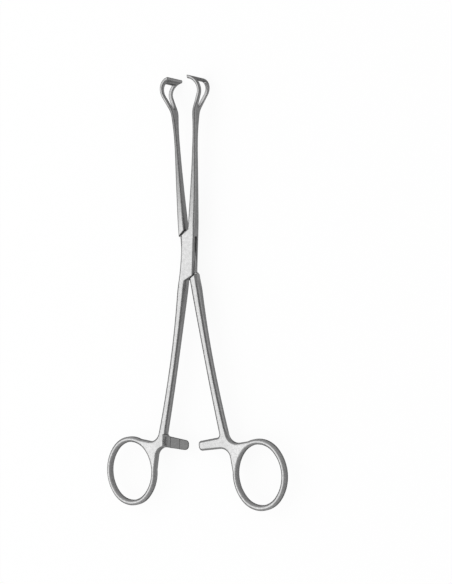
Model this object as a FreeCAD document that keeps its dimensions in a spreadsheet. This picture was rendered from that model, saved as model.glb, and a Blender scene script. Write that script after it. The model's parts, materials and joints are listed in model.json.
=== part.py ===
import FreeCAD, Part
import os
import re

import Sketcher

# Babcock tissue forceps with a box lock, finger rings and a ratchet, in millimetres.
# Each half is drawn in its own closed frame: the pivot axis is Z, +Y points to the tips, z = 0 is
# the middle plane of the instrument, the handle lies at +X and the jaw at -X. The box half is then
# turned over about Y, so that the two halves cross in the lock as the real ones do.

SIZES = [
    # Pose: how far each half is turned open from the closed position, in degrees
    ("rest_half_angle", 3.6),

    # How far a cut or a blank reaches past what it has to clear
    ("cut_margin", 1.0),

    # Box lock
    ("box_thickness", 4.7),
    ("slot_thickness", 2.0),
    ("tongue_face_clearance", 0.08),
    ("box_waist", 3.35),
    ("waist_station", 2.0),
    ("box_corner", 3.6),
    ("box_jaw_side", 3.5),
    ("box_side_station", 8.7),
    ("plate_end_distance", 9.2),
    ("jaw_end_angle", 40.0),
    ("handle_end_angle", 31.0),
    ("shoulder_gap", 0.2),
    ("tongue_half_width", 3.25),
    ("tongue_radius", 9.3),
    ("tongue_foot_station", 8.0),
    ("slot_end_gap", 0.3),
    ("lock_flat_station", 12.0),

    # Pivot pin, ground flush with the box
    ("pin_diameter", 3.2),
    ("pin_head_diameter", 4.3),
    ("pin_head_depth", 0.55),
    ("pin_running_clearance", 0.04),

    # Shank between the lock and the jaw
    ("jaw_station", 58.0),
    ("jaw_shank_inner", 0.72),
    ("jaw_shank_outer", 2.35),
    ("jaw_side_gap", 0.12),
    ("jaw_side_radius", 800.0),
    ("jaw_shank_thickness", 2.8),
    ("thin_distance", 29.5),
    ("jaw_shoulder_radius", 130.0),
    ("jaw_side_bevel", 0.42),

    # Shank between the lock and the handle
    ("handle_side_gap", 0.35),
    ("shoulder_station", 15.0),
    ("shoulder_reach", 4.75),
    ("shoulder_round", 50.0),
    ("inner_bow_radius", 1300.0),
    ("outer_bow_radius", 565.0),
    ("handle_thickness", 3.5),
    ("handle_taper_station", 50.0),
    ("handle_shoulder_radius", 300.0),
    ("handle_bevel", 0.8),

    # Web and ratchet arm
    ("arm_root_reach", 9.25),
    ("arm_root_station", 83.6),
    ("arm_end_overlap", 2.25),
    ("arm_end_top_station", 84.95),
    ("arm_end_low_station", 89.4),
    ("arm_low_reach", 13.3),
    ("arm_low_station", 88.7),
    ("arm_root_round", 1.4),
    ("arm_end_top_round", 1.6),
    ("arm_end_low_round", 1.9),
    ("arm_low_round", 4.6),
    ("web_corner_reach", 14.0),
    ("web_corner_station", 87.1),
    ("web_corner_round", 5.0),
    ("web_low_angle", 7.0),
    ("web_top_angle", 8.0),
    ("web_end_offset", 0.75),

    # Ratchet teeth
    ("recess_reach", 10.55),
    ("recess_wall_run", 1.0),
    ("recess_top_station", 82.8),
    ("recess_low_station", 89.6),
    ("tooth_pitch", 5.0),
    ("tooth_first_reach", 7.45),
    ("tooth_depth", 0.5),
    ("tooth_pass_clearance", 0.06),

    # Finger ring, an oval of four arcs, measured on the line through the middle of its metal
    ("ring_reach", 27.9),
    ("ring_station", 101.4),
    ("ring_half_length", 14.87),
    ("ring_half_width", 12.4),
    ("ring_end_radius", 11.0),
    ("ring_metal", 2.5),
    ("ring_bevel", 0.95),
    ("ring_lean", 2.0),

    # Jaw
    ("tip_half_gap", 0.05),
    ("tip_reach", 82.5),
    ("tip_width", 13.6),
    ("jaw_centre_inset", 0.35),
    ("jaw_outer_radius", 6.2),
    ("jaw_metal", 1.5),
    ("jaw_lean", 23.0),
    ("jaw_bend_round", 8.0),
    ("window_bar", 2.1),
    ("window_length", 12.0),
    ("window_branch", 1.8),
    ("window_low_round", 0.85),
    ("window_top_round", 0.4),
]

ALIASES = {name for name, size in SIZES}


def bound(formula):
    """The formula with each named size pointed at the sheet."""
    return re.sub(r"[a-z_]+", lambda word: "Sizes." + word.group() if word.group() in ALIASES
                  else word.group(), formula)


def add_sizes(document):
    sheet = document.addObject("Spreadsheet::Sheet", "Sizes")
    for row, (name, size) in enumerate(SIZES, start=1):
        sheet.set(f"A{row}", name.replace("_", " "))
        sheet.set(f"B{row}", str(size))
        sheet.setAlias(f"B{row}", name)
    document.recompute()


def add_body(document, name):
    body = document.addObject("PartDesign::Body", name)
    body.Label = name
    return body


def add_sketch(body, name, plane, offset="0"):
    """A sketch on one of the body's own origin planes, moved along the plane's normal."""
    sketch = body.newObject("Sketcher::SketchObject", name)
    support = next(item for item in body.Origin.OriginFeatures if item.Role == plane)
    sketch.AttachmentSupport = [(support, "")]
    sketch.MapMode = "FlatFace"
    sketch.setExpression("AttachmentOffset.Base.z", bound(offset))
    return sketch


def place(sketch, corner):
    return FreeCAD.Vector(float(sketch.evalExpression(bound(corner[0]))),
                          float(sketch.evalExpression(bound(corner[1]))), 0)


def fix_point(sketch, index, position, corner):
    """Ties one end or centre of a curve to its place, measured from the sketch's origin."""
    here = place(sketch, corner)
    for kind, formula, size in (("DistanceX", corner[0], here.x), ("DistanceY", corner[1], here.y)):
        number = sketch.addConstraint(Sketcher.Constraint(kind, -1, 1, index, position, size))
        sketch.setExpression(f"Constraints[{number}]", bound(formula))


def fix_size(sketch, kind, index, formula):
    size = float(sketch.evalExpression(bound(formula)))
    number = sketch.addConstraint(Sketcher.Constraint(kind, index, size))
    sketch.setExpression(f"Constraints[{number}]", bound(formula))


def draw_outline(sketch, corners):
    """A closed outline. A corner (x, y) is reached by a line, and a corner (x, y, radius, turn) by an
    arc that bends to the left of its way for turn 1 and to the right for turn -1."""
    first = sketch.GeometryCount
    ends = []
    for number, corner in enumerate(corners):
        start = place(sketch, corners[number - 1])
        end = place(sketch, corner)
        if len(corner) == 2:
            index = sketch.addGeometry(Part.LineSegment(start, end))
            ends.append((index, 1, 2))
            continue
        radius = float(sketch.evalExpression(bound(corner[2])))
        chord = end - start
        rise = (radius ** 2 - (chord.Length / 2) ** 2) ** 0.5
        side = FreeCAD.Vector(-chord.y, chord.x, 0).normalize() * corner[3]
        centre = (start + end) / 2 + side * rise
        index = sketch.addGeometry(Part.Arc(start, centre - side * radius, end))
        ends.append((index, 1, 2) if corner[3] == 1 else (index, 2, 1))
        fix_size(sketch, "Radius", index, corner[2])
    for number, (index, start, end) in enumerate(ends):
        after, after_start, after_end = ends[(number + 1) % len(ends)]
        sketch.addConstraint(Sketcher.Constraint("Coincident", index, end, after, after_start))
        fix_point(sketch, index, end, corners[number])
    return first


def draw_circle(sketch, radius):
    size = float(sketch.evalExpression(bound(radius)))
    index = sketch.addGeometry(Part.Circle(FreeCAD.Vector(0, 0, 0), FreeCAD.Vector(0, 0, 1), size))
    sketch.addConstraint(Sketcher.Constraint("Coincident", index, 3, -1, 1))
    fix_size(sketch, "Radius", index, radius)


def finish_cut(body, feature, before):
    body.Document.recompute()
    if not body.Shape.Volume < before - 1e-6:
        raise ValueError(f"{feature.Name} cuts nothing")
    return feature


def pad(body, name, sketch, length):
    feature = body.newObject("PartDesign::Pad", name)
    feature.Profile = sketch
    feature.Midplane = True
    feature.setExpression("Length", bound(length))
    body.Document.recompute()
    return feature


def pocket(body, name, sketch, length, both=False, along_normal=False):
    before = body.Shape.Volume
    feature = body.newObject("PartDesign::Pocket", name)
    feature.Profile = sketch
    feature.Midplane = both
    feature.Reversed = along_normal
    feature.setExpression("Length", bound(length))
    return finish_cut(body, feature, before)


def stands_upright(edge):
    half_way = (edge.FirstParameter + edge.LastParameter) / 2
    return abs(edge.tangentAt(half_way).z) > 0.9


def round_corners(body, name, sketch, corners, radius):
    """Rounds the edges that pass through the given corners of an outline, square to its plane."""
    base = body.Tip
    to_plane = sketch.Placement.inverse()
    spots = [place(sketch, corner) for corner in corners]
    names = []
    for number, edge in enumerate(base.Shape.Edges, start=1):
        ends = [to_plane.multVec(vertex.Point) for vertex in edge.Vertexes]
        ends = [FreeCAD.Vector(end.x, end.y, 0) for end in ends]
        if len(ends) == 2 and any(all((end - spot).Length < 1e-4 for end in ends) for spot in spots):
            names.append(f"Edge{number}")
    feature = body.newObject("PartDesign::Fillet", name)
    feature.Base = (base, names)
    feature.setExpression("Radius", bound(radius))
    body.Document.recompute()


def bevel_rim(body, name, sketch, indexes, size):
    """Bevels the front and back edges that lie over the given curves of an outline."""
    base = body.Tip
    curves = [sketch.Geometry[index].toShape() for index in indexes]
    names = []
    for number, edge in enumerate(base.Shape.Edges, start=1):
        if stands_upright(edge):
            continue
        middle = edge.valueAt((edge.FirstParameter + edge.LastParameter) / 2)
        spot = Part.Vertex(middle.x, middle.y, 0)
        if any(spot.distToShape(curve)[0] < 1e-3 for curve in curves):
            names.append(f"Edge{number}")
    feature = body.newObject("PartDesign::Chamfer", name)
    feature.Base = (base, names)
    feature.setExpression("Size", bound(size))
    body.Document.recompute()


# Places that several outlines share, as formulas of the sizes
TONGUE_THICKNESS = "(slot_thickness - 2 * tongue_face_clearance)"
SHOULDER_DISTANCE = "(plate_end_distance + shoulder_gap)"
THIN_STATION = "(tip_reach - thin_distance)"
RING_GROWTH = "ring_metal / 2"
RING_SIDE_RADIUS = "(((ring_half_length - ring_end_radius)^2 + ring_half_width^2" \
    " - ring_end_radius^2) / (2 * (ring_half_width - ring_end_radius)))"


def flat_end_radius(run, rise):
    """Radius of an arc that starts level and gains the rise over the run."""
    return f"((({run})^2 + ({rise})^2) / (2 * ({rise})))"


def eased(run, drop, radius):
    """Two arcs that lead from level to level: how far on and down they meet, and the second's radius."""
    swing = f"(2 * atan(({drop}) / ({run})))"
    return (f"({radius} * sin({swing}))", f"({radius} * (1 - cos({swing})))",
            f"(({run}) / sin({swing}) - {radius})")


WAIST_RADIUS = flat_end_radius("shoulder_station + waist_station", "shoulder_reach - box_waist")


def ring_place(across, along):
    """A point given across and along the leaning finger ring."""
    return (f"ring_reach + {across} * cos(ring_lean) + {along} * sin(ring_lean)",
            f"-ring_station - {across} * sin(ring_lean) + {along} * cos(ring_lean)")


def ring_joint(across_side, along_side, growth):
    """Where an end arc of the ring's oval, larger by growth, passes into a side arc."""
    reach = f"({RING_SIDE_RADIUS} - ring_end_radius)"
    across = f"({RING_SIDE_RADIUS} - ring_half_width) * (ring_end_radius + {growth}) / {reach}"
    along = f"(ring_half_length - ring_end_radius) * ({RING_SIDE_RADIUS} + {growth}) / {reach}"
    return ring_place(f"({across_side}{across})", f"({along_side}{along})")


def ring_oval(growth):
    """The four arcs of the oval round the middle of the ring's metal, larger by growth."""
    side = f"({RING_SIDE_RADIUS} + {growth})"
    end = f"(ring_end_radius + {growth})"
    return [(*ring_joint("", "", growth), side, 1), (*ring_joint("-", "", growth), end, 1),
            (*ring_joint("-", "-", growth), side, 1), (*ring_joint("", "-", growth), end, 1)]


def jaw_corners():
    """The hooked jaw from its tip down the outer side, and up the inner side to the tip."""
    centre = "(tip_reach - jaw_outer_radius)"
    inner = "(jaw_outer_radius - jaw_metal)"
    tip_run = "(tip_half_gap + jaw_centre_inset)"

    def tip(radius):
        return ("-tip_half_gap", f"{centre} + sqrt({radius}^2 - {tip_run}^2)")

    def lean_start(radius):
        return (f"jaw_centre_inset - {radius} * cos(jaw_lean)", f"{centre} - {radius} * sin(jaw_lean)")

    def bend(radius, reach):
        x, y = lean_start(radius)
        return (f"-{reach}", f"{y} - (-{reach} - ({x})) / tan(jaw_lean)")

    outer = "jaw_outer_radius"
    outside = [tip(outer), (*lean_start(outer), outer, 1), bend(outer, "jaw_shank_outer"),
               ("-jaw_shank_outer", "jaw_station")]
    inside = [bend(inner, "jaw_shank_inner"), lean_start(inner), (*tip(inner), inner, -1)]
    return outside, inside


def handle_corners():
    """From the inner side of the lock down the shank, round the arm and the web, and up again."""
    arm = [("arm_root_reach", "-arm_root_station", "inner_bow_radius", 1),
           ("-arm_end_overlap", "-arm_end_top_station"),
           ("-arm_end_overlap", "-arm_end_low_station"),
           ("arm_low_reach", "-arm_low_station")]

    def on_side(growth):
        radius = f"({RING_SIDE_RADIUS} + {growth})"
        return ring_place(f"({RING_SIDE_RADIUS} - ring_half_width - {radius} * cos(web_low_angle))",
                          f"(-{radius} * sin(web_low_angle))")

    def on_end(growth):
        radius = f"(ring_end_radius + {growth})"
        return ring_place(f"(-{radius} * sin(web_top_angle))",
                          f"(ring_half_length - ring_end_radius + {radius} * cos(web_top_angle))")

    web = [on_side("web_end_offset"),
           on_side("0"),
           (*ring_joint("-", "", "0"), RING_SIDE_RADIUS, -1),
           (*on_end("0"), "ring_end_radius", -1),
           on_end("web_end_offset"),
           ("web_corner_reach", "-web_corner_station")]
    return arm + web + [("shoulder_reach", "-shoulder_station", "outer_bow_radius", -1)]


def box_sides():
    """The sides of the box with its slanted plate ends, on the jaw's side and the handle's side."""
    low = "(plate_end_distance - sin(handle_end_angle) * box_jaw_side) / cos(handle_end_angle)"
    low_inner = "(plate_end_distance + sin(handle_end_angle) * handle_side_gap) / cos(handle_end_angle)"
    top = "(plate_end_distance - sin(jaw_end_angle) * box_corner) / cos(jaw_end_angle)"
    top_inner = "(plate_end_distance + sin(jaw_end_angle) * jaw_side_gap) / cos(jaw_end_angle)"
    corner_radius = flat_end_radius(f"{top} - waist_station", "box_corner - box_waist")
    jaw_side = [("-box_jaw_side", f"-({low})"), ("handle_side_gap", f"-({low_inner})")]
    handle_side = [("box_waist", "waist_station", WAIST_RADIUS, -1),
                   ("box_corner", top, corner_radius, -1),
                   ("-jaw_side_gap", top_inner)]
    return jaw_side, handle_side


def tongue_sides():
    """The sides of the tongue, whose ends are arcs about the pivot axis."""
    corner = "sqrt(tongue_radius^2 - tongue_half_width^2)"
    low_end = "sqrt(tongue_radius^2 - handle_side_gap^2)"
    top_end = "sqrt(tongue_radius^2 - jaw_side_gap^2)"
    low_inner = "(plate_end_distance - sin(handle_end_angle) * handle_side_gap) / cos(handle_end_angle)"
    top_inner = "(plate_end_distance - sin(jaw_end_angle) * jaw_side_gap) / cos(jaw_end_angle)"
    foot = f"box_waist + {WAIST_RADIUS} - sqrt({WAIST_RADIUS}^2" \
           " - (tongue_foot_station + waist_station)^2)"
    jaw_side = [("-tongue_half_width", "box_side_station"),
                ("-tongue_half_width", f"-{corner}"),
                ("handle_side_gap", f"-{low_end}", "tongue_radius", 1),
                ("handle_side_gap", f"-({low_inner})")]
    handle_side = [(foot, "-tongue_foot_station", WAIST_RADIUS, -1),
                   ("tongue_half_width", "-tongue_foot_station"),
                   ("tongue_half_width", corner),
                   ("-jaw_side_gap", top_end, "tongue_radius", 1),
                   ("-jaw_side_gap", f"({top_inner})")]
    return jaw_side, handle_side


def add_blank(body, name, lock_sides):
    """The forged blank of a half: its plan outline, cut to its side outline, with bevelled rims."""
    outside, inside = jaw_corners()
    jaw_lock, handle_lock = lock_sides
    turn_y, turn_x, taper_radius = eased("jaw_station - box_side_station",
                                         "box_jaw_side - jaw_shank_outer", "jaw_side_radius")
    jaw_side = [(f"{turn_x} - box_jaw_side", f"box_side_station + {turn_y}", taper_radius, -1),
                ("-box_jaw_side", "box_side_station", "jaw_side_radius", 1)]
    inner_side = ("-jaw_shank_inner", "jaw_station",
                  flat_end_radius(f"jaw_station - ({handle_lock[-1][1]})",
                                  "jaw_shank_inner - jaw_side_gap"), -1)
    handle = handle_corners()
    corners = outside + jaw_side + jaw_lock + handle + handle_lock + [inner_side] + inside
    plan = add_sketch(body, f"{name}_plan", "XY_Plane")
    draw_outline(plan, corners)
    pad(body, f"{name}_blank", plan, "tip_width + 2 * cut_margin")

    rounds = [("jaw_bend_outer", outside[2], "jaw_bend_round"),
              ("jaw_bend_inner", inside[0], "jaw_bend_round + jaw_metal"),
              ("arm_root", handle[0], "arm_root_round"),
              ("arm_end_top", handle[1], "arm_end_top_round"),
              ("arm_end_low", handle[2], "arm_end_low_round"),
              ("arm_low", handle[3], "arm_low_round"),
              ("web_corner", handle[9], "web_corner_round"),
              ("shoulder", handle[10], "shoulder_round")]
    for label, corner, radius in rounds:
        round_corners(body, f"{name}_{label}_round", plan, [corner], radius)

    side = add_sketch(body, f"{name}_side", "YZ_Plane")
    draw_side_cut(side, 1)
    draw_side_cut(side, -1)
    pocket(body, f"{name}_side_cut", side, "4 * ring_reach", both=True)

    box_start = len(outside + jaw_side)
    arm_start = box_start + len(jaw_lock)
    handle_rim = [*range(arm_start, arm_start + 5), *range(arm_start + 9, arm_start + 12)]
    jaw_rim = [*range(1, box_start), *range(len(corners) - 4, len(corners))]
    if len(handle_lock) == 3:
        handle_rim.append(arm_start + 12)
        jaw_rim.append(box_start)
    bevel_rim(body, f"{name}_handle_bevel", plan, handle_rim, "handle_bevel")
    bevel_rim(body, f"{name}_jaw_bevel", plan, jaw_rim, "jaw_side_bevel")


def draw_side_cut(sketch, front):
    """What is cut away above the side outline, for front 1, or below it, for front -1."""
    low_y, low_z, low_radius = eased("handle_taper_station - lock_flat_station",
                                     "(box_thickness - handle_thickness) / 2",
                                     "handle_shoulder_radius")
    top_y, top_z, top_radius = eased(f"{THIN_STATION} - lock_flat_station",
                                     "(box_thickness - jaw_shank_thickness) / 2",
                                     "jaw_shoulder_radius")
    flare = flat_end_radius("thin_distance", "(tip_width - jaw_shank_thickness) / 2")
    sky = "tip_width / 2 + 2 * cut_margin"
    low_end = "-(ring_station + 2 * ring_half_length)"
    corners = [(low_end, "handle_thickness / 2"),
               ("-handle_taper_station", "handle_thickness / 2"),
               (f"-(lock_flat_station + {low_y})", f"box_thickness / 2 - {low_z}", low_radius, 1),
               ("-lock_flat_station", "box_thickness / 2", "handle_shoulder_radius", -1),
               ("lock_flat_station", "box_thickness / 2"),
               (f"lock_flat_station + {top_y}", f"box_thickness / 2 - {top_z}",
                "jaw_shoulder_radius", -1),
               (THIN_STATION, "jaw_shank_thickness / 2", top_radius, 1),
               ("tip_reach", "tip_width / 2", flare, 1),
               ("tip_reach", sky),
               (low_end, sky)]
    if front == -1:
        corners = [(corner[0], f"-({corner[1]})", *corner[2:3], *(-turn for turn in corner[3:]))
                   for corner in corners]
    draw_outline(sketch, corners)


def cut_window(body, name):
    """The window through the jaw, which leaves two branches and the bar at the tip."""
    def half_width(station):
        flare = flat_end_radius("thin_distance", "(tip_width - jaw_shank_thickness) / 2")
        return f"(jaw_shank_thickness / 2 + {flare} - sqrt({flare}^2" \
               f" - ({station} - {THIN_STATION})^2) - window_branch)"

    low_station = "(tip_reach - window_bar - window_length)"
    top_station = "(tip_reach - window_bar)"
    low = half_width(low_station)
    top = half_width(top_station)
    sketch = add_sketch(body, f"{name}_window_outline", "YZ_Plane")
    corners = [(low_station, f"-{low}"), (top_station, f"-{top}"),
               (top_station, top), (low_station, low)]
    draw_outline(sketch, corners)
    pocket(body, f"{name}_window", sketch, "4 * jaw_outer_radius", both=True)
    round_corners(body, f"{name}_window_low_rounds", sketch, [corners[0], corners[3]],
                  "window_low_round")
    round_corners(body, f"{name}_window_top_rounds", sketch, corners[1:3], "window_top_round")


def cut_teeth(body, name):
    """Half the arm's depth is milled away, which leaves teeth whose steep sides face the arm's root.
    The wall at the root slopes up to the face of the shank."""
    face = add_sketch(body, f"{name}_tooth_outline", "XZ_Plane", "recess_top_station")
    crest = "tooth_pass_clearance"
    valley = "(tooth_pass_clearance + tooth_depth)"
    below = "-handle_thickness"
    second = "(tooth_first_reach - tooth_pitch)"
    beyond = "(-arm_end_overlap - cut_margin)"
    foot = "(recess_reach - recess_wall_run)"
    root_level = f"({valley} - tooth_depth * ({foot} - tooth_first_reach) / tooth_pitch)"
    end_level = f"({crest} + tooth_depth * ({second} - {beyond}) / tooth_pitch)"
    corners = [("recess_reach", below), ("recess_reach", "-handle_thickness / 2"), (foot, root_level),
               ("tooth_first_reach", valley), ("tooth_first_reach", crest),
               (second, valley), (second, crest), (beyond, end_level), (beyond, below)]
    draw_outline(face, corners)
    pocket(body, f"{name}_teeth", face, "recess_low_station - recess_top_station", along_normal=True)


def add_ring(document, body, name):
    """The finger ring, bevelled inside and outside, joined to the half at its web."""
    ring = add_body(document, f"{name}_ring_blank")
    sketch = add_sketch(ring, f"{name}_ring_plan", "XY_Plane")
    draw_outline(sketch, ring_oval(RING_GROWTH))
    draw_outline(sketch, ring_oval(f"-{RING_GROWTH}"))
    feature = pad(ring, f"{name}_ring_pad", sketch, "handle_thickness")
    rims = [f"Edge{number}" for number, edge in enumerate(feature.Shape.Edges, start=1)
            if not stands_upright(edge)]
    bevel = ring.newObject("PartDesign::Chamfer", f"{name}_ring_bevel")
    bevel.Base = (feature, rims)
    bevel.setExpression("Size", bound("ring_bevel"))
    document.recompute()
    joined = body.newObject("PartDesign::Boolean", f"{name}_ring_joint")
    joined.setObjects([ring])
    joined.Type = "Fuse"
    document.recompute()


def pin_corners():
    """Half the section of the pivot pin, from its axis, with a countersunk head at both ends."""
    head = "pin_head_diameter / 2"
    shank = "pin_diameter / 2"
    face = "box_thickness / 2"
    neck = "(box_thickness / 2 - pin_head_depth)"
    return [("0", f"-{face}"), (head, f"-{face}"), (shank, f"-{neck}"),
            (shank, neck), (head, face), ("0", face)]


def turn_about_pivot(body, kind, name):
    sketch = add_sketch(body, f"{name}_section", "XZ_Plane")
    draw_outline(sketch, pin_corners())
    feature = body.newObject(f"PartDesign::{kind}", name)
    feature.Profile = sketch
    feature.ReferenceAxis = (sketch, ["V_Axis"])
    feature.Angle = 360
    return feature


def make_female_half(document):
    """The box half: the right jaw, the box with its slot, and the left handle."""
    name = "female_half"
    body = add_body(document, name)
    add_blank(body, name, box_sides())
    slot = add_sketch(body, f"{name}_slot_outline", "XY_Plane")
    radius = "(tongue_radius + slot_end_gap)"
    wide = "(box_jaw_side + cut_margin)"
    arc_end = f"sqrt({radius}^2 - {wide}^2)"
    far = "(2 * box_jaw_side)"
    draw_outline(slot, [(f"-{wide}", arc_end), ("0", radius, radius, -1), ("0", "2 * plate_end_distance"),
                        (far, "2 * plate_end_distance"), (far, f"-{arc_end}"), (wide, f"-{arc_end}"),
                        ("0", f"-{radius}", radius, -1), ("0", "-2 * plate_end_distance"),
                        (f"-{far}", "-2 * plate_end_distance"), (f"-{far}", arc_end)])
    pocket(body, f"{name}_slot", slot, "slot_thickness", both=True)
    before = body.Shape.Volume
    finish_cut(body, turn_about_pivot(body, "Groove", f"{name}_pin_seat"), before)
    cut_window(body, name)
    cut_teeth(body, name)
    add_ring(document, body, name)
    body.setExpression("Placement", bound("placement(vector(0; 0; box_thickness / 2); "
                                          "rotationz(-rest_half_angle) * rotationy(180))"))
    return body


def make_male_half(document):
    """The tongue half: the left jaw, the tongue in the slot, and the right handle."""
    name = "male_half"
    body = add_body(document, name)
    add_blank(body, name, tongue_sides())
    far = "(2 * box_jaw_side)"

    def shoulder(angle, side):
        return f"({SHOULDER_DISTANCE} + {side} * sin({angle}) * {far}) / cos({angle})"

    corners = [(f"-{far}", shoulder("jaw_end_angle", "-1")), (far, shoulder("jaw_end_angle", "1")),
               (far, f"-({shoulder('handle_end_angle', '-1')})"),
               (f"-{far}", f"-({shoulder('handle_end_angle', '1')})")]
    for label, side, along_normal in (("front", "", True), ("back", "-", False)):
        cheek = add_sketch(body, f"{name}_{label}_cheek_outline", "XY_Plane",
                           f"{side}{TONGUE_THICKNESS} / 2")
        draw_outline(cheek, corners)
        pocket(body, f"{name}_{label}_cheek", cheek, "box_thickness", along_normal=along_normal)
    bore = add_sketch(body, f"{name}_bore_outline", "XY_Plane")
    draw_circle(bore, "pin_diameter / 2 + pin_running_clearance")
    pocket(body, f"{name}_bore", bore, "box_thickness", both=True)
    cut_window(body, name)
    cut_teeth(body, name)
    add_ring(document, body, name)
    body.setExpression("Placement", bound("placement(vector(0; 0; box_thickness / 2); "
                                          "rotationz(rest_half_angle))"))
    return body


def make_pivot_pin(document):
    """The rivet that carries the tongue in the box."""
    body = add_body(document, "pivot_pin")
    turn_about_pivot(body, "Revolution", "pivot_pin_turning")
    document.recompute()
    body.setExpression("Placement.Base.z", bound("box_thickness / 2"))
    return body


def main():
    document = FreeCAD.newDocument("babcock_forceps")
    add_sizes(document)
    parts = [make_female_half(document), make_male_half(document), make_pivot_pin(document)]
    document.recompute()
    for item in document.Objects:
        if "Invalid" in item.State or "Error" in item.State:
            raise ValueError(f"{item.Name} failed: {item.State}")
    for part in parts:
        if part.Shape.isNull() or not part.Shape.isValid():
            raise ValueError(f"{part.Label} has no valid shape")
    os.makedirs("parts", exist_ok=True)
    for part in parts:
        part.Shape.exportStep(f"parts/{part.Label}.step")
        box = part.Shape.BoundBox
        print(part.Label, len(part.Shape.Solids), round(part.Shape.Volume, 1),
              [round(size, 2) for size in (box.XMin, box.XMax, box.YMin, box.YMax, box.ZMin, box.ZMax)])


main()
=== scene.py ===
import json

import bpy
from mathutils import Matrix, Vector


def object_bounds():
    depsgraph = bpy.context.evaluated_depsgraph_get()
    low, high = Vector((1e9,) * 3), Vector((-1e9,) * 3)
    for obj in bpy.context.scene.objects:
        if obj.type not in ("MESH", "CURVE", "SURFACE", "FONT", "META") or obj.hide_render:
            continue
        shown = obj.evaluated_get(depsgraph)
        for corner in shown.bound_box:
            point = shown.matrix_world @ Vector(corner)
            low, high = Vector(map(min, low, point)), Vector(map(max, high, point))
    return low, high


# Babcock tissue forceps in satin stainless steel, lying on a pale floor, in metres.

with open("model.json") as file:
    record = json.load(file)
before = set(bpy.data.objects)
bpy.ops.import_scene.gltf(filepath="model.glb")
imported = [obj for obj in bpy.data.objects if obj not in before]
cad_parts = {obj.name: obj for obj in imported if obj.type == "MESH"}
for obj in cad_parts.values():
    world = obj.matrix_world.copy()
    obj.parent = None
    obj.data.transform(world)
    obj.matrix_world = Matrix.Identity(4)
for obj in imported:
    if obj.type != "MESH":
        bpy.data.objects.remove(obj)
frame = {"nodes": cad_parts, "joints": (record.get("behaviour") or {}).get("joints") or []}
cad_box = [list(corner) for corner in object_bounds()]
nodes = frame["nodes"]

HINGE = Vector(frame["joints"][0]["pos_m"])

# The photograph's viewpoint, from the middle of the lock
CAMERA_PLACE = Vector((0.367485, -0.028962, 0.608061))
CAMERA_RIGHT = Vector((0.867142, -0.026317, -0.497367))
CAMERA_UP = Vector((0.031240, 0.999511, 0.001580))
CAMERA_LENS = 95.29
CAMERA_REACH = 20.0

# The paper under the instrument, lifted towards white where it is seen directly or in the steel
FLOOR_GAP = 0.0001
FLOOR_REACH = 3.0
FLOOR_COLOUR = (0.93, 0.93, 0.93)
FLOOR_ROUGHNESS = 0.9
FLOOR_SHINE = 0.1
FLOOR_GLOW = 0.9

# One softbox up on the left, in a studio that is whitest on the left and greyer on the right
LAMP_PLACE = Vector((-0.60, 0.05, 1.00))
LAMP_AIM = Vector((0.0, -0.01, 0.0))
LAMP_SIDE = 1.7
LAMP_POWER = 6.4
STUDIO_TONES = ((-1.0, 1.0), (1.0, 0.6))

# Tones of the steel, brightest on the front and back faces and darker on the flanks, bevels and
# edges by painted shade
FACE_STEEL = 0.49
# Painted shade on the flanks, darker than the faces
FLANK_PAINTED_SHADE = 0.29
# The milled teeth are dull, and this tone also paints the shade of the ratchet recess
TOOTH_MILLED_PAINTED_SHADE = 0.152
# Painted light on the recess wall, lifting it out of the shade of its corner
RECESS_WALL_PAINTED_LIGHT = 0.42
# Painted shade on the flanks of the arms
ARM_FLANK_PAINTED_SHADE = 0.24
# Painted shade on the bevels and along the edges
BEVEL_SHADE = 0.6
EDGE_SHADE = 0.5
# Deepens the painted shade lines at the tooth edges
TOOTH_EDGE_POWER = 1.6
EDGE_TINT = (0.25, 0.25, 0.25)
# Painted shade and highlight from a flank, 0, over the rounded edge to the front face, 1, on the
# shanks and rings
ROUNDED_PAINTED_SHADE_TONES = ((0.0, 0.235), (0.25, 0.3), (0.5, 0.42), (0.66, 0.26), (0.76, 0.125), (0.95, 0.125),
                 (1.0, 0.2))
# On the rings a painted highlight along the ridge, darker on its sides by painted shade
RING_PAINTED_HIGHLIGHT_TONES = ((0.0, 0.2), (0.35, 0.215), (0.75, 0.32), (0.92, 0.42), (1.0, 0.54))
# The face's tone along the jaw shanks, a painted sheen that fades and comes back at the hooks, by
# the distance from the pivot axis towards the tips
JAW_SHANK_PAINTED_SHEEN_TONES = ((0.012, 0.49), (0.025, 0.36), (0.039, 0.28), (0.057, 0.23), (0.066, 0.24),
                   (0.072, 0.45))

# How far a surface is turned to the front or back, from 0 to 1, where the painted shade and
# highlight change
FLANK_TO_FACE = (0.35, 0.97)
BEVEL_BAND = (0.6, 0.76)
BEVEL_EASE = 0.2
FACE_RIM = (0.955, 0.995)
FLANK_SLANT = 0.3
RECESS_WALL_SLANT = (0.42, 0.58)
RECESS_WALL_EASE = 0.04

# Radius of the softened edges, and the range of their bend that darkens them with painted shade
SHARP_ROUNDING = 0.0006
SOFT_ROUNDING = 0.0011
ROUNDING_SAMPLES = 10
EDGE_BEND = (0.998, 0.93)

# Regions of the halves, by the distance along and across the instrument from the pivot axis
HANDLE_SHANK = (-0.079, -0.014)
HANDLE_SHANK_EASE = 0.003
JAW_SHANK = (0.014, 0.066)
JAW_SHANK_EASE = 0.005
RING_STATION = -0.083
RING_REACH = (0.018, 0.023)
ARM_STATION = -0.0822
ARM_REACH = 0.0163
TOOTH_LEVEL = 0.00065
RIVET_REACH = 0.0028

# Fine grain and broader clouds in the satin finish, in cells to the metre
GRAIN = {"Scale": 2600.0, "Detail": 2.0, "Roughness": 0.6}
CLOUD = {"Scale": 900.0, "Detail": 3.0, "Roughness": 0.6}
NOISE_RANGE = (0.3, 0.7)
GRAIN_TONES = (0.85, 1.15)
CLOUD_TONES = (0.86, 1.14)
SHEEN = (0.30, 0.42)
GRAIN_STRENGTH = 0.35
GRAIN_DEPTH = 0.00004


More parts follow.
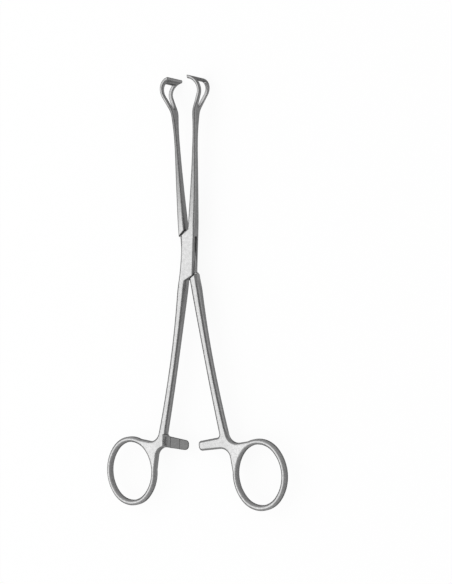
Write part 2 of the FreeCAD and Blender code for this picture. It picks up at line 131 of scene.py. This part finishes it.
def link_object(name, data):
    made = bpy.data.objects.new(name, data)
    bpy.context.scene.collection.objects.link(made)
    return made


def add_node(tree, kind, sockets, **settings):
    """A shader node whose sockets are set to plain values or linked to other nodes' sockets."""
    made = tree.nodes.new(kind)
    for name, value in settings.items():
        setattr(made, name, value)
    for socket, value in sockets.items():
        if isinstance(value, bpy.types.NodeSocket):
            tree.links.new(value, made.inputs[socket])
        else:
            made.inputs[socket].default_value = value
    return made


def add_math(tree, operation, *values):
    return add_node(tree, "ShaderNodeMath", dict(enumerate(values)), operation=operation).outputs[0]


def add_spread(tree, value, source, target=(0.0, 1.0)):
    """Maps the first range of a value to the second one."""
    sockets = {"Value": value, "From Min": source[0], "From Max": source[1],
               "To Min": target[0], "To Max": target[1]}
    return add_node(tree, "ShaderNodeMapRange", sockets).outputs["Result"]


def add_band(tree, value, band, ease):
    """1 while the value lies in the band, eased to 0 on both sides of it."""
    rise = add_spread(tree, value, (band[0] - ease, band[0]))
    fall = add_spread(tree, value, (band[1], band[1] + ease), (1.0, 0.0))
    return add_math(tree, "MULTIPLY", rise, fall)


def add_blend(tree, share, first, second):
    """A number that passes from the first to the second as the share grows."""
    return add_node(tree, "ShaderNodeMix", {0: share, 2: first, 3: second}).outputs[0]


def add_tones(tree, value, tones):
    """A tone that passes through the given pairs of a value and its tone."""
    start = tones[0][0]
    reach = tones[-1][0] - start
    ramp = add_node(tree, "ShaderNodeValToRGB",
                    {"Fac": add_spread(tree, value, (start, start + reach))})
    stops = ramp.color_ramp.elements
    stops.remove(stops[1])
    for place, tone in tones[1:]:
        stops.new((place - start) / reach)
    for stop, (place, tone) in zip(stops, tones):
        stop.color = (tone, tone, tone, 1)
    return ramp.outputs["Color"]


def add_camera():
    data = bpy.data.cameras.new("photo_camera")
    data.lens = CAMERA_LENS
    data.clip_end = CAMERA_REACH
    camera = link_object("photo_camera", data)
    right = CAMERA_RIGHT.normalized()
    back = right.cross(CAMERA_UP).normalized()
    up = back.cross(right)
    turn = Matrix((right, up, back)).transposed().to_4x4()
    camera.matrix_world = Matrix.Translation(HINGE + CAMERA_PLACE) @ turn
    bpy.context.scene.camera = camera


def floor_paper():
    material = bpy.data.materials.new("floor_paper")
    material.use_nodes = True
    tree = material.node_tree
    shader = tree.nodes["Principled BSDF"]
    shader.inputs["Base Color"].default_value = (*FLOOR_COLOUR, 1)
    shader.inputs["Roughness"].default_value = FLOOR_ROUGHNESS
    shader.inputs["Specular IOR Level"].default_value = FLOOR_SHINE
    glow = add_node(tree, "ShaderNodeEmission", {"Color": (1, 1, 1, 1), "Strength": 1.0})
    path = tree.nodes.new("ShaderNodeLightPath")
    seen = add_math(tree, "MAXIMUM", path.outputs["Is Camera Ray"], path.outputs["Is Glossy Ray"])
    seen = add_math(tree, "MAXIMUM", seen, path.outputs["Is Transmission Ray"])
    share = add_math(tree, "MULTIPLY", seen, FLOOR_GLOW)
    lifted = add_node(tree, "ShaderNodeMixShader",
                      {0: share, 1: shader.outputs["BSDF"], 2: glow.outputs["Emission"]})
    tree.links.new(lifted.outputs[0], tree.nodes["Material Output"].inputs["Surface"])
    return material


def add_floor():
    height = cad_box[0][2] - FLOOR_GAP
    corners = [(across * FLOOR_REACH, along * FLOOR_REACH, height)
               for across, along in ((-1, -1), (1, -1), (1, 1), (-1, 1))]
    mesh = bpy.data.meshes.new("floor")
    mesh.from_pydata(corners, [], [(0, 1, 2, 3)])
    mesh.materials.append(floor_paper())
    link_object("floor", mesh)


def add_light():
    data = bpy.data.lights.new("key_softbox", "AREA")
    data.shape = "RECTANGLE"
    data.size = LAMP_SIDE
    data.size_y = LAMP_SIDE
    data.energy = LAMP_POWER
    way = LAMP_AIM - LAMP_PLACE
    turn = way.to_track_quat("-Z", "Y").to_matrix().to_4x4()
    link_object("key_softbox", data).matrix_world = Matrix.Translation(LAMP_PLACE) @ turn

    world = bpy.data.worlds.new("studio")
    world.use_nodes = True
    tree = world.node_tree
    place = tree.nodes.new("ShaderNodeTexCoord").outputs["Generated"]
    across = add_node(tree, "ShaderNodeSeparateXYZ", {"Vector": place}).outputs["X"]
    background = tree.nodes["Background"]
    background.inputs["Strength"].default_value = 1.0
    tree.links.new(add_tones(tree, across, STUDIO_TONES), background.inputs["Color"])
    bpy.context.scene.world = world


class Regions:
    """Masks for the regions of a half, worked out from the place on the half."""

    def __init__(self, tree, place):
        split = add_node(tree, "ShaderNodeSeparateXYZ", {"Vector": place})
        self.along = split.outputs["Y"]
        across = add_math(tree, "ABSOLUTE", split.outputs["X"])
        level = add_math(tree, "ABSOLUTE", add_math(tree, "SUBTRACT", split.outputs["Z"], HINGE.z))
        handle_shank = add_band(tree, self.along, HANDLE_SHANK, HANDLE_SHANK_EASE)
        jaw_shank = add_band(tree, self.along, JAW_SHANK, JAW_SHANK_EASE)
        self.shank = add_math(tree, "MAXIMUM", handle_shank, jaw_shank)
        self.ring = add_math(tree, "MULTIPLY", add_math(tree, "LESS_THAN", self.along, RING_STATION),
                             add_spread(tree, across, RING_REACH))
        self.arm = add_math(tree, "MULTIPLY", add_math(tree, "LESS_THAN", self.along, ARM_STATION),
                            add_math(tree, "LESS_THAN", across, ARM_REACH))
        self.teeth = add_math(tree, "MULTIPLY", self.arm,
                              add_math(tree, "LESS_THAN", level, TOOTH_LEVEL))
        off_axis = add_math(tree, "SQRT", add_math(tree, "ADD",
                                                   add_math(tree, "POWER", across, 2.0),
                                                   add_math(tree, "POWER", self.along, 2.0)))
        self.rivet = add_math(tree, "LESS_THAN", off_axis, RIVET_REACH)


def turned_up(tree, normal):
    """How far a surface is turned to the front or back: 1 on a face and 0 on a flank."""
    height = add_node(tree, "ShaderNodeSeparateXYZ", {"Vector": normal}).outputs["Z"]
    return add_math(tree, "ABSOLUTE", height)


def rounded_normal(tree, region, flat):
    """The normal with its edges softened, apart from the rivet's seat, which is ground flush."""
    soft = add_math(tree, "MAXIMUM", region.shank, region.ring)
    rounding = add_blend(tree, soft, SHARP_ROUNDING, SOFT_ROUNDING)
    rounded = add_node(tree, "ShaderNodeBevel", {"Radius": rounding}, samples=ROUNDING_SAMPLES)
    return add_node(tree, "ShaderNodeMix", {0: region.rivet, 4: rounded.outputs["Normal"], 5: flat},
                    data_type="VECTOR").outputs[1]


def half_painted_shade_tone(tree, region, normal, flat):
    """The tone of a half's steel, region by region, with painted shade on flanks, bevels, edges and
    teeth and painted light on faces, rings and the recess wall.
    """
    turned = turned_up(tree, normal)
    # Face tone with a painted sheen along the jaw shanks
    face_painted_sheen = add_tones(tree, region.along, JAW_SHANK_PAINTED_SHEEN_TONES)
    bent = add_node(tree, "ShaderNodeVectorMath", {0: normal, 1: flat}, operation="DOT_PRODUCT")
    # Painted shade along the edges and on the bevels, and painted shade on the flanks of sharp-edged
    # parts
    painted_edge_shade = add_blend(tree, add_spread(tree, bent.outputs["Value"], EDGE_BEND), 1.0, EDGE_SHADE)
    painted_bevel_shade = add_blend(tree, add_band(tree, turned, BEVEL_BAND, BEVEL_EASE), 1.0, BEVEL_SHADE)
    sharp_edged_painted_shade = add_blend(tree, add_spread(tree, turned, FLANK_TO_FACE), FLANK_PAINTED_SHADE, face_painted_sheen)
    sharp_edged_painted_shade = add_math(tree, "MULTIPLY", sharp_edged_painted_shade, add_math(tree, "MULTIPLY", painted_bevel_shade, painted_edge_shade))
    # Painted shade and highlight over the rounded edges of the shanks
    shank = add_blend(tree, add_spread(tree, turned, FACE_RIM),
                      add_tones(tree, turned, ROUNDED_PAINTED_SHADE_TONES), face_painted_sheen)
    tone = add_blend(tree, region.shank, sharp_edged_painted_shade, shank)
    # Painted highlight on the ridges of the rings
    tone = add_blend(tree, region.ring, tone, add_tones(tree, turned, RING_PAINTED_HIGHLIGHT_TONES))

    # The milled teeth are dull all over and darkened further by painted recess shade and painted
    # shade lines at their edges; the flanks of the arms get painted shade, and the recess wall
    # painted light
    slant = turned_up(tree, flat)
    # Painted shade on the flanks of the arms
    painted_flank_shade_mask = add_math(tree, "MULTIPLY", region.arm, add_math(tree, "LESS_THAN", slant, FLANK_SLANT))
    tone = add_blend(tree, painted_flank_shade_mask, tone, ARM_FLANK_PAINTED_SHADE)
    # Milled tooth tone with painted shade lines at the tooth edges
    teeth = add_math(tree, "MULTIPLY", add_math(tree, "POWER", painted_edge_shade, TOOTH_EDGE_POWER), TOOTH_MILLED_PAINTED_SHADE)
    tone = add_blend(tree, region.teeth, tone, teeth)
    # Painted light on the recess wall
    painted_wall_light_mask = add_math(tree, "MULTIPLY", region.arm,
                    add_band(tree, slant, RECESS_WALL_SLANT, RECESS_WALL_EASE))
    return add_blend(tree, painted_wall_light_mask, tone, RECESS_WALL_PAINTED_LIGHT)


def steel_material(name, of_half):
    """Satin stainless steel with a fine grain and a cloudy sheen; on the halves, painted shade and
    highlight by region.
    """
    material = bpy.data.materials.new(name)
    material.use_nodes = True
    tree = material.node_tree
    shader = tree.nodes["Principled BSDF"]
    shader.inputs["Metallic"].default_value = 1.0
    shader.inputs["Specular Tint"].default_value = (*EDGE_TINT, 1)
    place = tree.nodes.new("ShaderNodeTexCoord").outputs["Object"]
    normal = tree.nodes.new("ShaderNodeNewGeometry").outputs["Normal"]
    tone = FACE_STEEL
    if of_half:
        region = Regions(tree, place)
        flat = normal
        normal = rounded_normal(tree, region, flat)
        tone = half_painted_shade_tone(tree, region, normal, flat)

    grain = add_node(tree, "ShaderNodeTexNoise", {"Vector": place, **GRAIN}).outputs["Fac"]
    cloud = add_node(tree, "ShaderNodeTexNoise", {"Vector": place, **CLOUD}).outputs["Fac"]
    speckle = add_spread(tree, grain, NOISE_RANGE, GRAIN_TONES)
    mottle = add_spread(tree, cloud, NOISE_RANGE, CLOUD_TONES)
    shade = add_math(tree, "MULTIPLY", add_math(tree, "MULTIPLY", speckle, mottle), tone)
    bump = add_node(tree, "ShaderNodeBump", {"Strength": GRAIN_STRENGTH, "Distance": GRAIN_DEPTH,
                                             "Height": grain, "Normal": normal})
    tree.links.new(shade, shader.inputs["Base Color"])
    tree.links.new(add_spread(tree, cloud, NOISE_RANGE, SHEEN), shader.inputs["Roughness"])
    tree.links.new(bump.outputs["Normal"], shader.inputs["Normal"])
    return material


def dress(node_name, material):
    piece = nodes[node_name]
    piece.data.materials.clear()
    piece.data.materials.append(material)


add_camera()
add_floor()
add_light()
# The halves' steel has painted shade and highlight in its tone
half_steel_painted_shade = steel_material("satin_steel_painted_shade", of_half=True)
dress("female_half", half_steel_painted_shade)
dress("male_half", half_steel_painted_shade)
dress("pivot_pin", steel_material("ground_steel", of_half=False))

bpy.context.scene.view_settings.view_transform = "Standard"
